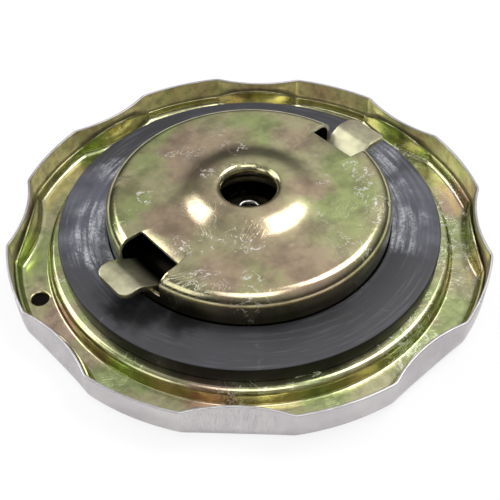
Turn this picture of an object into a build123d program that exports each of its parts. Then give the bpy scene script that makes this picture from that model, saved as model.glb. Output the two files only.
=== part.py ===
from build123d import *
from math import sin, cos, tan, pi, radians, hypot, acos
import os

os.makedirs("parts", exist_ok=True)

# ---------------------------------------------------------------- driving sizes, mm
# The cap stands on its outer face: z = 0 is the face, +Z points into the tank.
# The two tangs of the locking strap point along -X and +X.
# Radii grow outward from the cup, which fits the filler neck, and heights grow upward
# from the platform, so a new neck size carries the rest of the cap with it.

# sheet metal
cover_sheet = 0.6
plate_sheet = 0.6
cup_sheet = 0.8
strap_sheet = 1.2
cage_sheet = 0.5

# cup
cup_radius = 32.2
cup_flange_width = 5.3
cup_foot_bend = 0.8
cup_height = 11.4           # from the platform to the flat top
cup_shoulder = 3.2
boss_foot = 15.2
boss_foot_bend = 3.0
boss_knee = 11.3
boss_knee_rise = 1.5        # over the flat top
boss_knee_bend = 3.5
lip_rise = 2.05             # over the flat top
lip_radius = 6.0            # centre hole
lip_roll = 1.4
lip_depth = 1.55
notch_depth = 7.0           # from the cup wall inward
notch_room = 1.3            # on each side of the strap
notch_flare = 0.9           # more room on each side at the cup wall

# gasket
gasket_width = 11.3         # from the cup wall outward
gasket_thick = 3.7
gasket_edge = 0.35
gasket_gap = 0.15           # to the cup wall
gasket_relief = 0.1         # over the cup flange
gasket_clear = 0.3          # round the edge of the cup flange
gasket_bevel = 0.75         # clears the bend at the foot of the cup

# inner plate
platform_ledge = 3.2        # from the gasket to the foot of the platform wall
platform_height = 3.6       # over the annulus
platform_draft = 0.6
platform_fold = 1.5
foot_margin = 1.3           # flat annulus turned in one piece with the platform
flange_top = 3.9            # flange height where it meets a lobe
flange_rise = 1.0           # the flange gets this much higher per mm nearer the axis
vent_radius = 1.9
vent_offset = 3.15          # from the foot of the platform wall
vent_angle = 160.0
vent_edge = 0.4             # rounding left by the punch
port_radius = 2.5           # hole under the valve

# outer cover
rim_width = 8.3             # from the foot of the platform wall to the lobes
valley_depth = 2.9          # of the hollows between the lobes
lobes = 8
lobe_angle = 22.3           # degrees of rim that stay on the full radius, per lobe
cover_turn = 1.3            # degrees from a tang to the middle of the nearest valley
ridge_radius = 2.4          # softening of the upright ridge where lobe meets valley
cover_height = 9.0
cover_floor = 0.4           # underside of the ring the plate rests on
cover_fold = 3.0            # outer radius between floor and skirt
panel_margin = 12.0         # from the lobes to the raised panel of the outer face
panel_slope = 1.2           # width of the slope round the panel
plate_gap = 0.4             # skirt to flange
fold_gap = 0.3              # fold of the cover to fold of the plate

# locking strap
strap_width = 10.4
strap_sink = 2.5            # from the cup's flat top to the top of the strap's middle
tang_reach = 6.1            # from the cup wall to the tip
strap_corner = 2.3
strap_eye = 7.5             # radius of the hole in the middle
strap_ring = 13.0           # outer radius round that hole
strap_waist = 6.0           # blend between the ring and the arms
strap_middle_bend = 16.0
dip_depth = 1.3             # of the dip just inside the notch
dip_inset = 1.8             # from the cup wall inward
dip_bend = 5.0
crest_drop = 0.15           # where the tang levels out, under the middle
crest_offset = 2.4          # from the cup wall outward
crest_bend = 5.0
tip_drop = 0.05             # under the middle
strap_rest_gap = 0.05       # over the notch floor

# springs
spring_gap = 0.04           # at each end
spring_seat = 0.6           # edge of the strap's hole to the wire
boss_lean = 1.006           # upright thickness of the sloping boss, in sheets
strap_wire = 0.8
strap_spring_turns = 2.5
valve_wire = 0.45
valve_spring_inset = 0.45   # bore of the outlet to the middle of the wire
valve_spring_turns = 3.5

# vent valve
seal_lap = 2.1              # round the port
seal_thick = 1.2
seal_edge = 0.2
disc_lap = 0.3              # round the seal
disc_thick = 0.5
pip_gap = 0.675             # pip of the disc to the valve spring
pip_height = 0.8
cage_gap = 1.0              # disc to can
cage_height = 5.2           # over the platform
cage_shoulder = 1.1
cage_flange_width = 2.6
outlet_radius = 2.55
outlet_height = 0.9
outlet_bead = 0.42          # radius of the bead round the outlet

# ---------------------------------------------------------------- sizes that follow
gasket_radius = cup_radius + gasket_width
foot_radius = gasket_radius + platform_ledge
cover_radius = foot_radius + rim_width
valley_radius = cover_radius - valley_depth
panel_radius = cover_radius - panel_margin
plate_base = cover_floor + cover_sheet
annulus_level = plate_base + plate_sheet
seat_level = annulus_level + platform_height
cup_top = seat_level + cup_height
strap_middle = cup_top - strap_sink
strap_spring_radius = strap_eye + spring_seat + strap_wire / 2
seal_radius = port_radius + seal_lap
disc_radius = seal_radius + disc_lap
cage_radius = disc_radius + cage_gap + cage_sheet
cage_top = seat_level + cage_height
valve_spring_radius = outlet_radius - cage_sheet + valve_spring_inset


# ---------------------------------------------------------------- helpers
def rim_outline(inset):
    """Lobed outline of the cap, moved in by one wall distance, as a face at z = 0."""
    half_lobe = radians(lobe_angle) / 2
    step = 2 * pi / lobes
    half_valley = step / 2 - half_lobe
    chord = cover_radius * sin(half_valley)
    depth = cover_radius * cos(half_valley) - valley_radius
    arc = (chord ** 2 + depth ** 2) / (2 * depth)
    far = valley_radius + arc
    lobe_r = cover_radius - inset
    valley_r = arc + inset
    bite = acos((lobe_r ** 2 + far ** 2 - valley_r ** 2) / (2 * lobe_r * far))
    edges = []
    for n in range(lobes):
        valley = radians(cover_turn) + n * step
        start, end = valley - bite, valley + bite
        following = valley + step - bite
        middle = valley + step / 2
        a = (lobe_r * cos(start), lobe_r * sin(start))
        b = (lobe_r * cos(end), lobe_r * sin(end))
        c = (lobe_r * cos(following), lobe_r * sin(following))
        low = far - valley_r
        edges.append(ThreePointArc(a, (low * cos(valley), low * sin(valley)), b))
        edges.append(ThreePointArc(b, (lobe_r * cos(middle), lobe_r * sin(middle)), c))
    face = make_face(edges)
    return fillet(face.vertices(), ridge_radius - inset)


def bent_sheet(path, radii, sheet):
    """Cross-section of bent sheet: path is one surface, the metal lies on its left."""
    def offset_line(distance):
        lines = []
        for (x0, y0), (x1, y1) in zip(path, path[1:]):
            length = hypot(x1 - x0, y1 - y0)
            ux, uy = (x1 - x0) / length, (y1 - y0) / length
            lines.append((x0 - uy * distance, y0 + ux * distance, ux, uy, length))
        corners = [(lines[0][0], lines[0][1])]
        for (ax, ay, aux, auy, _), (bx, by, bux, buy, _) in zip(lines, lines[1:]):
            cross = aux * buy - auy * bux
            t = ((bx - ax) * buy - (by - ay) * bux) / cross
            corners.append((ax + aux * t, ay + auy * t))
        x, y, ux, uy, length = lines[-1]
        corners.append((x + ux * length, y + uy * length))
        return corners

    def rounded(corners, distance):
        edges = []
        last = corners[0]
        for n in range(1, len(corners) - 1):
            p, c, q = corners[n - 1], corners[n], corners[n + 1]
            lp, lq = hypot(p[0] - c[0], p[1] - c[1]), hypot(q[0] - c[0], q[1] - c[1])
            u = ((p[0] - c[0]) / lp, (p[1] - c[1]) / lp)
            v = ((q[0] - c[0]) / lq, (q[1] - c[1]) / lq)
            left_turn = u[1] * v[0] - u[0] * v[1] > 0
            radius = radii[n - 1] - distance if left_turn else radii[n - 1] + distance
            half = acos(max(-1, min(1, u[0] * v[0] + u[1] * v[1]))) / 2
            run = radius / tan(half)
            a = (c[0] + u[0] * run, c[1] + u[1] * run)
            b = (c[0] + v[0] * run, c[1] + v[1] * run)
            bis = (u[0] + v[0], u[1] + v[1])
            size = hypot(*bis)
            reach = radius / sin(half) - radius
            m = (c[0] + bis[0] / size * reach, c[1] + bis[1] / size * reach)
            edges += [Line(last, a), ThreePointArc(a, m, b)]
            last = b
        edges.append(Line(last, corners[-1]))
        return edges

    near = offset_line(0)
    other = offset_line(sheet)
    edges = rounded(near, 0) + rounded(other, sheet)
    edges += [Line(near[0], other[0]), Line(near[-1], other[-1])]
    return make_face(edges)


def turned(profile):
    """Revolve a cross-section drawn in (radius, height) about the Z axis."""
    return revolve(Plane.XZ * profile, Axis.Z)


def coil(radius, wire, low, high, turns):
    """Compression spring with closed ends between two levels."""
    rise = high - low - wire
    steps = int(turns * 16)
    points = []
    for n in range(steps + 1):
        share = n / steps
        lift = min(max((share * turns - 0.6) / (turns - 1.2), 0), 1)
        lift = lift * lift * (3 - 2 * lift) * 0.75 + share * 0.25
        turn = 2 * pi * turns * share
        points.append((radius * cos(turn), radius * sin(turn), low + wire / 2 + rise * lift))
    path = Spline(points)
    section = Plane(origin=path @ 0, z_dir=path % 0) * Circle(wire / 2)
    return sweep(section, path=path)


# ---------------------------------------------------------------- outer cover
shell = extrude(Pos(0, 0, cover_floor) * rim_outline(0), cover_height - cover_floor)
shell = fillet(shell.faces().sort_by(Axis.Z)[0].edges(), cover_fold)
hollow = extrude(Pos(0, 0, cover_floor + cover_sheet) * rim_outline(cover_sheet), cover_height)
hollow = fillet(hollow.faces().sort_by(Axis.Z)[0].edges(), cover_fold - cover_sheet)
panel = turned(Polygon((0, 0), (panel_radius, 0), (panel_radius + panel_slope, cover_floor),
                       (0, cover_floor), align=None))
hollow_radius = panel_radius - cover_sheet / 2
hollow_top = cover_floor + cover_sheet
panel_hollow = turned(Polygon((0, cover_sheet), (hollow_radius, cover_sheet),
                              (hollow_radius + panel_slope, hollow_top + 0.01),
                              (0, hollow_top + 0.01), align=None))
outer_cover = (shell - hollow) + panel - panel_hollow

# ---------------------------------------------------------------- inner plate
plate_inset = cover_sheet + plate_gap
dish = extrude(Pos(0, 0, plate_base) * rim_outline(plate_inset), 8.0)
plate_fold = cover_fold - cover_sheet - fold_gap
dish = fillet(dish.faces().sort_by(Axis.Z)[0].edges(), plate_fold)
inside = extrude(Pos(0, 0, plate_base + plate_sheet) * rim_outline(plate_inset + plate_sheet), 9.0)
inside = fillet(inside.faces().sort_by(Axis.Z)[0].edges(), plate_fold - plate_sheet)
flange_radius = cover_radius - plate_inset
join_radius = foot_radius + foot_margin
over_flange = flange_radius + 1
trim = turned(Polygon(
    (join_radius - 1, flange_top + flange_rise * (over_flange - join_radius)),
    (over_flange, flange_top - flange_rise), (over_flange, cover_height * 2),
    (join_radius - 1, cover_height * 2), align=None))
outer_ring = dish - inside - trim - Pos(0, 0, 4) * Cylinder(join_radius, 20)
seat_strip = bent_sheet(
    [(join_radius, annulus_level), (foot_radius, annulus_level),
     (foot_radius - platform_draft, seat_level), (port_radius, seat_level)],
    [plate_sheet, platform_fold], plate_sheet)
inner_plate = outer_ring + turned(seat_strip)
vent_circle = foot_radius + vent_offset
vent_at = (vent_circle * cos(radians(vent_angle)), vent_circle * sin(radians(vent_angle)))
inner_plate -= Pos(*vent_at, annulus_level) * Cylinder(vent_radius, 4)
vent_rims = [e for e in inner_plate.edges().filter_by(GeomType.CIRCLE)
             if abs(e.radius - vent_radius) < 0.01 and e.center().Z > annulus_level - 0.01]
inner_plate = fillet(vent_rims, vent_edge)

# ---------------------------------------------------------------- locking strap
strap_reach = cup_radius + tang_reach
half_path = [(strap_reach, strap_middle - tip_drop),
             (cup_radius + crest_offset, strap_middle - crest_drop),
             (cup_radius - dip_inset, strap_middle - dip_depth), (strap_ring, strap_middle)]
half_bends = [crest_bend, dip_bend, strap_middle_bend]
strap_path = half_path + [(-x, z) for x, z in reversed(half_path)]
band = bent_sheet(strap_path, half_bends + half_bends[::-1], strap_sheet)
band = extrude(Plane.XZ * band, strap_ring + 2, both=True)
blank = Rectangle(2 * strap_reach, strap_width)
blank = fillet(blank.vertices(), strap_corner) + Circle(strap_ring)
waist = [v for v in blank.vertices() if abs(v.X) < strap_ring]
blank = fillet(waist, strap_waist) - Circle(strap_eye)
locking_strap = band & extrude(blank, 30)

# ---------------------------------------------------------------- cup
cup_flange = cup_radius + cup_flange_width
cup_path = [(cup_flange, seat_level + cup_sheet), (cup_radius, seat_level + cup_sheet),
            (cup_radius, cup_top), (boss_foot, cup_top), (boss_knee, cup_top + boss_knee_rise),
            (lip_radius, cup_top + lip_rise), (lip_radius, cup_top + lip_rise - lip_depth)]
cup_bends = [cup_foot_bend, cup_shoulder, boss_foot_bend, boss_knee_bend, lip_roll]
cup = turned(bent_sheet(cup_path, cup_bends, cup_sheet))
notch_floor = band.bounding_box().min.Z - strap_rest_gap
notch_inner = cup_radius - notch_depth
notch_outer = cup_radius + 2
notch_half = strap_width / 2 + notch_room
notch_wide = notch_half + notch_flare * (notch_outer - notch_inner) / notch_depth
notch = Polygon((notch_inner, -notch_half), (notch_outer, -notch_wide),
                (notch_outer, notch_wide), (notch_inner, notch_half), align=None)
notch = extrude(Pos(0, 0, notch_floor) * notch, cup_top)
cup = cup - notch - Rot(0, 0, 180) * notch

# ---------------------------------------------------------------- gasket
gasket_bore = cup_radius + gasket_gap
gasket_step = seat_level + cup_sheet + gasket_relief
seat_half = Polygon(
    (gasket_bore, gasket_step + gasket_bevel), (gasket_bore + gasket_bevel, gasket_step),
    (cup_flange + gasket_clear, gasket_step), (cup_flange + gasket_clear, seat_level),
    (gasket_radius, seat_level), (gasket_radius, seat_level + gasket_thick),
    (gasket_bore, seat_level + gasket_thick), align=None)
sealing_gasket = turned(seat_half)
gasket_rims = [e for e in sealing_gasket.edges().filter_by(GeomType.CIRCLE)
               if abs(e.radius - gasket_radius) < 0.01]
sealing_gasket = fillet(gasket_rims, gasket_edge)

# ---------------------------------------------------------------- strap spring
boss_slope = (lip_rise - boss_knee_rise) / (boss_knee - lip_radius)
past_lip = strap_spring_radius + strap_wire / 2 - lip_radius
ceiling = cup_top + lip_rise - boss_slope * past_lip - cup_sheet * boss_lean
strap_spring = coil(strap_spring_radius, strap_wire, strap_middle + spring_gap,
                    ceiling - spring_gap, strap_spring_turns)

# ---------------------------------------------------------------- vent valve
cage_foot = seat_level + cage_sheet
outlet_level = cage_top + outlet_height
cage_path = [(cage_radius + cage_flange_width, cage_foot), (cage_radius, cage_foot),
             (cage_radius, cage_top), (outlet_radius, cage_top), (outlet_radius, outlet_level)]
cage_bends = [cage_sheet, cage_shoulder, 0.8 * cage_sheet]
crown = Pos(outlet_radius - cage_sheet / 2, outlet_level) * Circle(outlet_bead)
valve_cage = turned(bent_sheet(cage_path, cage_bends, cage_sheet)) + turned(crown)

valve_seal = Pos(0, 0, seat_level + seal_thick / 2) * Cylinder(seal_radius, seal_thick)
valve_seal = fillet(valve_seal.edges(), seal_edge)
disc_low = seat_level + seal_thick
valve_disc = Pos(0, 0, disc_low + disc_thick / 2) * Cylinder(disc_radius, disc_thick)
disc_pip = valve_spring_radius - valve_wire / 2 - pip_gap
valve_disc += Pos(0, 0, disc_low + disc_thick + pip_height / 2) * Cylinder(disc_pip, pip_height)
valve_spring = coil(valve_spring_radius, valve_wire, disc_low + disc_thick + spring_gap,
                    cage_top - cage_sheet - spring_gap, valve_spring_turns)

# ---------------------------------------------------------------- write the solids
for node, solid in (
        ("outer_cover", outer_cover), ("inner_plate", inner_plate), ("cup", cup),
        ("sealing_gasket", sealing_gasket), ("locking_strap", locking_strap),
        ("strap_spring", strap_spring), ("valve_cage", valve_cage),
        ("valve_seal", valve_seal), ("valve_disc", valve_disc),
        ("valve_spring", valve_spring)):
    export_step(solid, "parts/" + node + ".step")
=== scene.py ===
"""A pressed-steel bayonet fuel filler cap that lies on its outer face, tank side up.

Lengths are in millimetres, and MM turns them into metres as a mesh or a socket takes them.
The two locking tangs point along -X and +X, and z = 0 is the cover's outer face.
"""

from __future__ import annotations

import logging
import math
from dataclasses import dataclass, field
from enum import Enum
from typing import Callable, Iterable, Union

import bmesh
import bpy
from mathutils import Matrix, Vector


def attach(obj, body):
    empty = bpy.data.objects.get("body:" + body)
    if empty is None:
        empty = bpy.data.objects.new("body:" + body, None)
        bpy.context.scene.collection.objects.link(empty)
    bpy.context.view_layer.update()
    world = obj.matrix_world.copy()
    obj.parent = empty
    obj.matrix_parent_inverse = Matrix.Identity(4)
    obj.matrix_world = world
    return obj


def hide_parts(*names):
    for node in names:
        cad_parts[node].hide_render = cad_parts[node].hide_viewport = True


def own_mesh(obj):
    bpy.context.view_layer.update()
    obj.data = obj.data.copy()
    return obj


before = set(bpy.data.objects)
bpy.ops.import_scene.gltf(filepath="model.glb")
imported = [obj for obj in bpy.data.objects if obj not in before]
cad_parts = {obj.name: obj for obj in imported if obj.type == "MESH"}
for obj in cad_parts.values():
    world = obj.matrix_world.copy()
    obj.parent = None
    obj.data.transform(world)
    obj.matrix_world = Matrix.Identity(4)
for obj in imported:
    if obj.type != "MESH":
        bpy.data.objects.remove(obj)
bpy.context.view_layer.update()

MM = 0.001
Point = tuple[float, float]
Place = tuple[float, float, float]
Color = tuple[float, float, float, float]
log = logging.getLogger("filler_cap")


def rgb(red: int, green: int, blue: int) -> Color:
    """Turns an 8-bit display colour into a linear one.

    Args:
        red: the red level, from 0 to 255.
        green: the green level.
        blue: the blue level.

    Returns:
        The linear colour.
    """
    def linear(level: int) -> float:
        """Undoes the display curve of one channel."""
        share = level / 255
        return share / 12.92 if share <= 0.04045 else ((share + 0.055) / 1.055) ** 2.4
    return linear(red), linear(green), linear(blue), 1.0


def place_of(x: float, y: float, z: float = 0.0) -> Place:
    """Returns a place in metres from millimetres."""
    return x * MM, y * MM, z * MM


def ramp(value: float, low: float, high: float) -> float:
    """Returns how far a value has come from low to high, from 0 to 1."""
    return min(max((value - low) / (high - low), 0.0), 1.0)


# ------------------------------------------------------------------ sections and ring meshes


def rounded_loop(corners: list[Point], radii: list[float], steps: int = 7) -> list[Point]:
    """Rounds the corners of a closed outline.

    Args:
        corners: the outline's corners, in order.
        radii: one fillet radius for each corner, 0 for a sharp one.
        steps: spans in each rounded corner.

    Returns:
        The points of the rounded outline.
    """
    points: list[Point] = []
    for index, (corner, radius) in enumerate(zip(corners, radii)):
        here = Vector(corner)
        if radius <= 0:
            points.append(corner)
            continue
        back = (Vector(corners[index - 1]) - here).normalized()
        ahead = (Vector(corners[(index + 1) % len(corners)]) - here).normalized()
        half = back.angle(ahead) / 2
        middle = here + (back + ahead).normalized() * (radius / math.sin(half))
        start = here + back * (radius / math.tan(half)) - middle
        end = here + ahead * (radius / math.tan(half)) - middle
        swing = start.angle_signed(end)
        for step in range(steps + 1):
            turned = Matrix.Rotation(-swing * step / steps, 2) @ start
            points.append(tuple(middle + turned))
    return points


def with_levels(points: list[Point], levels: list[float], margin: float = 0.2) -> list[Point]:
    """Adds points to an outline where its long upright runs cross some levels.

    Args:
        points: the outline.
        levels: the heights that get a point.
        margin: how far from a run's ends a new point stays.

    Returns:
        The outline with the new points.
    """
    dense: list[Point] = []
    for (x0, z0), (x1, z1) in zip(points, points[1:]):
        dense.append((x0, z0))
        if abs(z1 - z0) > 10 * margin:
            crossed = [z for z in levels if min(z0, z1) + margin < z < max(z0, z1) - margin]
            for level in sorted(crossed, reverse=z1 < z0):
                share = (level - z0) / (z1 - z0)
                dense.append((x0 + (x1 - x0) * share, level))
    return dense + [points[-1]]


def sheet_loop(path: list[Point], bends: list[float], sheet: float, edge: float = 0.12,
               steps: int = 7) -> list[Point]:
    """Draws the section of a bent sheet.

    Args:
        path: the corners of the sheet's first surface; the metal lies on its left.
        bends: the bend radius on that surface at each inner corner.
        sheet: the thickness.
        edge: the rounding of the cut edges.
        steps: spans in each bend.

    Returns:
        The points round the section.
    """
    lines = []
    for start, end in zip(path, path[1:]):
        run = (Vector(end) - Vector(start)).normalized()
        side = Vector((-run.y, run.x))
        lines.append((Vector(start) + side * sheet, run, Vector(end) + side * sheet))
    other = [lines[0][0]]
    other_bends = []
    for (first, run, _), (second, following, _), bend in zip(lines, lines[1:], bends):
        turn = run.cross(following)
        other.append(first + run * ((second - first).cross(following) / turn))
        other_bends.append(bend - sheet if turn > 0 else bend + sheet)
    other.append(lines[-1][2])
    corners = list(path) + [tuple(point) for point in reversed(other)]
    radii = [edge, *bends, edge, edge, *reversed(other_bends), edge]
    return rounded_loop(corners, radii, steps)


@dataclass(frozen=True)
class Ring:
    """One ring of points round the axis.

    A lobed ring's reach is how far it lies inside the rim's outline, a round one's is its radius.
    Climb is the share of the flange's undulation that the ring follows, and depth the share of
    the valleys.
    """

    reach: float
    height: float
    lobed: bool = False
    climb: float = 0.0
    depth: float = 1.0


def even_columns(count: int) -> list[float]:
    """Returns evenly spaced angles round the axis."""
    return [2 * math.pi * n / count for n in range(count)]


def link(name: str, mesh: bpy.types.Mesh) -> bpy.types.Object:
    """Makes an object for a mesh and puts it in the scene.

    Args:
        name: the object's name.
        mesh: its mesh.

    Returns:
        The object.
    """
    piece = bpy.data.objects.new(name, mesh)
    bpy.context.scene.collection.objects.link(piece)
    return piece


def ring_mesh(name: str, rings: list[Ring], columns: Iterable[float], closed: bool,
              rim: float = 0.0) -> bpy.types.Object:
    """Joins rings of points into a skin round the axis.

    Args:
        name: the object's name.
        rings: the rings, in order round the section.
        columns: the angles of the columns of points, in radians.
        closed: whether the last ring joins the first.
        rim: the radius that lobed rings are inset from.

    Returns:
        An object whose points carry inset, lobed, climb and depth attributes.
    """
    angles = list(columns)
    vertices = []
    for ring in rings:
        radius = rim - ring.reach if ring.lobed else ring.reach
        vertices += [place_of(radius * math.cos(a), radius * math.sin(a), ring.height)
                     for a in angles]
    count = len(angles)
    faces = []
    for low in range(len(rings) if closed else len(rings) - 1):
        high = (low + 1) % len(rings)
        for column in range(count):
            following = (column + 1) % count
            faces.append((low * count + column, low * count + following,
                          high * count + following, high * count + column))
    mesh = bpy.data.meshes.new(name)
    mesh.from_pydata(vertices, [], faces)
    for label, values in (("inset", [ring.reach * MM for ring in rings]),
                          ("lobed", [float(ring.lobed) for ring in rings]),
                          ("climb", [ring.climb for ring in rings]),
                          ("depth", [ring.depth for ring in rings])):
        layer = mesh.attributes.new(label, "FLOAT", "POINT")
        layer.data.foreach_set("value", [value for value in values for _ in angles])
    return link(name, mesh)


def prism(name: str, outline: list[Point], low: float, high: float) -> bpy.types.Object:
    """Makes an upright prism, for cutting with.

    Args:
        name: the object's name.
        outline: its corners in X and Y, counter-clockwise.
        low: its lower level.
        high: its upper level.

    Returns:
        The prism.
    """
    count = len(outline)
    vertices = [place_of(x, y, z) for z in (low, high) for x, y in outline]
    sides = [(n, (n + 1) % count, (n + 1) % count + count, n + count) for n in range(count)]
    mesh = bpy.data.meshes.new(name)
    mesh.from_pydata(vertices, [], [tuple(reversed(range(count))), tuple(range(count, 2 * count)),
                                    *sides])
    return link(name, mesh)


def shade(piece: bpy.types.Object, sharp_degrees: float) -> None:
    """Shades a piece smooth up to an angle."""
    piece.data.shade_smooth()
    piece.data.set_sharp_from_angle(angle=math.radians(sharp_degrees))


def tidy_mesh(piece: bpy.types.Object, sharp_degrees: float = 35.0,
              close: float = 0.0005 * MM) -> None:
    """Closes poles, turns faces outwards and shades the piece.

    Args:
        piece: the piece.
        sharp_degrees: the least angle of an edge that stays sharp.
        close: the distance below which points are one.
    """
    skin = bmesh.new()
    skin.from_mesh(piece.data)
    bmesh.ops.remove_doubles(skin, verts=skin.verts, dist=close)
    bmesh.ops.dissolve_degenerate(skin, edges=skin.edges, dist=close)
    bmesh.ops.recalc_face_normals(skin, faces=skin.faces)
    skin.to_mesh(piece.data)
    skin.free()
    shade(piece, sharp_degrees)


def make_plain(piece: bpy.types.Object) -> None:
    """Turns what a piece's modifiers make into its plain mesh and takes the modifiers off.

    Args:
        piece: the piece.
    """
    shape = piece.evaluated_get(bpy.context.evaluated_depsgraph_get())
    mesh = bpy.data.meshes.new_from_object(shape)
    piece.modifiers.clear()
    piece.data = mesh


def cut(piece: bpy.types.Object, cutter: bpy.types.Object) -> None:
    """Takes a solid out of a piece.

    Args:
        piece: the piece.
        cutter: the solid, which is removed.
    """
    change = piece.modifiers.new("cut", "BOOLEAN")
    change.operation = "DIFFERENCE"
    change.solver = "EXACT"
    change.object = cutter
    make_plain(piece)
    bpy.data.objects.remove(cutter)


def soften(piece: bpy.types.Object, width: float, angle: float = 50.0) -> None:
    """Rounds a piece's sharp edges a little.

    Args:
        piece: the piece.
        width: the rounding's width.
        angle: the least angle, in degrees, of an edge that is rounded.
    """
    change = piece.modifiers.new("soften", "BEVEL")
    change.width = width * MM
    change.segments = 2
    change.limit_method = "ANGLE"
    change.angle_limit = math.radians(angle)
    change.use_clamp_overlap = True
    make_plain(piece)
    shade(piece, 38.0)


# ------------------------------------------------------------------ node helpers


class Signal:
    """A node's output; arithmetic on it adds Math nodes."""

    def __init__(self, graph: Graph, socket: bpy.types.NodeSocket) -> None:
        """Holds an output and the graph that it lies in."""
        self.graph = graph
        self.socket = socket

    def __add__(self, other: Value) -> Signal:
        """Adds a value."""
        return self.graph.math("ADD", self, other)

    def __sub__(self, other: Value) -> Signal:
        """Takes a value away."""
        return self.graph.math("SUBTRACT", self, other)

    def __rsub__(self, other: float) -> Signal:
        """Takes this away from a number."""
        return self.graph.math("SUBTRACT", other, self)

    def __mul__(self, other: Value) -> Signal:
        """Multiplies by a value."""
        return self.graph.math("MULTIPLY", self, other)


Value = Union[Signal, float, int, Place, Color]


class Graph:
    """Adds nodes to a node tree, fills their inputs and links them."""

    def __init__(self, tree: bpy.types.NodeTree) -> None:
        """Takes the tree."""
        self.tree = tree

    def fill(self, socket: bpy.types.NodeSocket, value: Value) -> None:
        """Links an input to a signal, or sets its own value.

        Args:
            socket: the input.
            value: the signal or the value.
        """
        if isinstance(value, Signal):
            self.tree.links.new(value.socket, socket)
        else:
            socket.default_value = value

    def add(self, kind: str, inputs: dict[str | int, Value] | None = None,
            output: str | int = 0, **settings: object) -> Signal:
        """Adds a node.

        Args:
            kind: the node's type name.
            inputs: what each input takes, by name or number.
            output: the output that is wanted.
            settings: the node's own properties.

        Returns:
            The wanted output.
        """
        node = self.tree.nodes.new(kind)
        for name, value in settings.items():
            setattr(node, name, value)
        for key, value in (inputs or {}).items():
            self.fill(node.inputs[key], value)
        return Signal(self, node.outputs[output])

    def math(self, operation: str, *values: Value, clamp: bool = False) -> Signal:
        """Adds a Math node."""
        return self.add("ShaderNodeMath", dict(enumerate(values)), operation=operation,
                        use_clamp=clamp)

    def vector(self, operation: str, *values: Value) -> Signal:
        """Adds a Vector Math node on vectors."""
        return self.add("ShaderNodeVectorMath", dict(enumerate(values)), operation=operation,
                        output="Value" if operation == "LENGTH" else 0)

    def scaled(self, vector: Signal, scale: Value) -> Signal:
        """Multiplies a vector by a number."""
        return self.add("ShaderNodeVectorMath", {0: vector, "Scale": scale}, operation="SCALE")

    def step(self, value: Signal, low: Value, high: Value) -> Signal:
        """Rises smoothly from 0 at low to 1 at high."""
        return self.add("ShaderNodeMapRange", {0: value, 1: low, 2: high},
                        interpolation_type="SMOOTHSTEP")

    def span(self, value: Signal, low: float, high: float) -> Signal:
        """Takes 0 to 1 onto low to high."""
        return self.add("ShaderNodeMapRange", {0: value, 3: low, 4: high})

    def mix(self, share: Value, first: Value, second: Value, blend: str = "MIX") -> Signal:
        """Mixes two colours."""
        return self.add("ShaderNodeMix", {0: share, 6: first, 7: second}, 2, data_type="RGBA",
                        blend_type=blend)

    def noise(self, vector: Signal, scale: Value, detail: float = 3.0, rough: float = 0.5,
              warp: float = 0.0, output: str = "Fac") -> Signal:
        """Adds a noise texture."""
        return self.add("ShaderNodeTexNoise", {
            "Vector": vector, "Scale": scale, "Detail": detail, "Roughness": rough,
            "Distortion": warp}, output)

    def hairline(self, value: Signal, thin: float, wide: float) -> Signal:
        """Returns 1 along the line where a noise crosses its middle and 0 away from it."""
        return 1.0 - self.step(self.math("ABSOLUTE", value - 0.5), thin, wide)

    def split(self, vector: Signal) -> list[Signal]:
        """Splits a vector.

        Args:
            vector: the vector.

        Returns:
            Its three parts.
        """
        node = self.add("ShaderNodeSeparateXYZ", {0: vector}).socket.node
        return [Signal(self, socket) for socket in node.outputs]

    def join(self, x: Value = 0.0, y: Value = 0.0, z: Value = 0.0) -> Signal:
        """Makes a vector from three parts."""
        return self.add("ShaderNodeCombineXYZ", {0: x, 1: y, 2: z})

    def polar(self, radius: Signal, angle: Signal, height: Signal) -> Signal:
        """Makes a place from a radius, an angle and a height."""
        return self.join(radius * self.math("COSINE", angle), radius * self.math("SINE", angle),
                         height)

    def group(self, group: bpy.types.NodeTree, output: str | int = 0,
              **inputs: Value) -> Signal:
        """Places a group node.

        Args:
            group: the group.
            output: the output that is wanted.
            inputs: what its inputs take; their spaces are written as underscores.

        Returns:
            The wanted output.
        """
        named = {name.replace("_", " "): value for name, value in inputs.items()}
        return self.add("ShaderNodeGroup", named, output, node_tree=group)


class Socket(Enum):
    """The kinds of socket that groups are given."""

    NUMBER = "NodeSocketFloat"
    COUNT = "NodeSocketInt"
    COLOR = "NodeSocketColor"
    VECTOR = "NodeSocketVector"
    SHAPE = "NodeSocketGeometry"
    FINISH = "NodeSocketMaterial"


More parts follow.
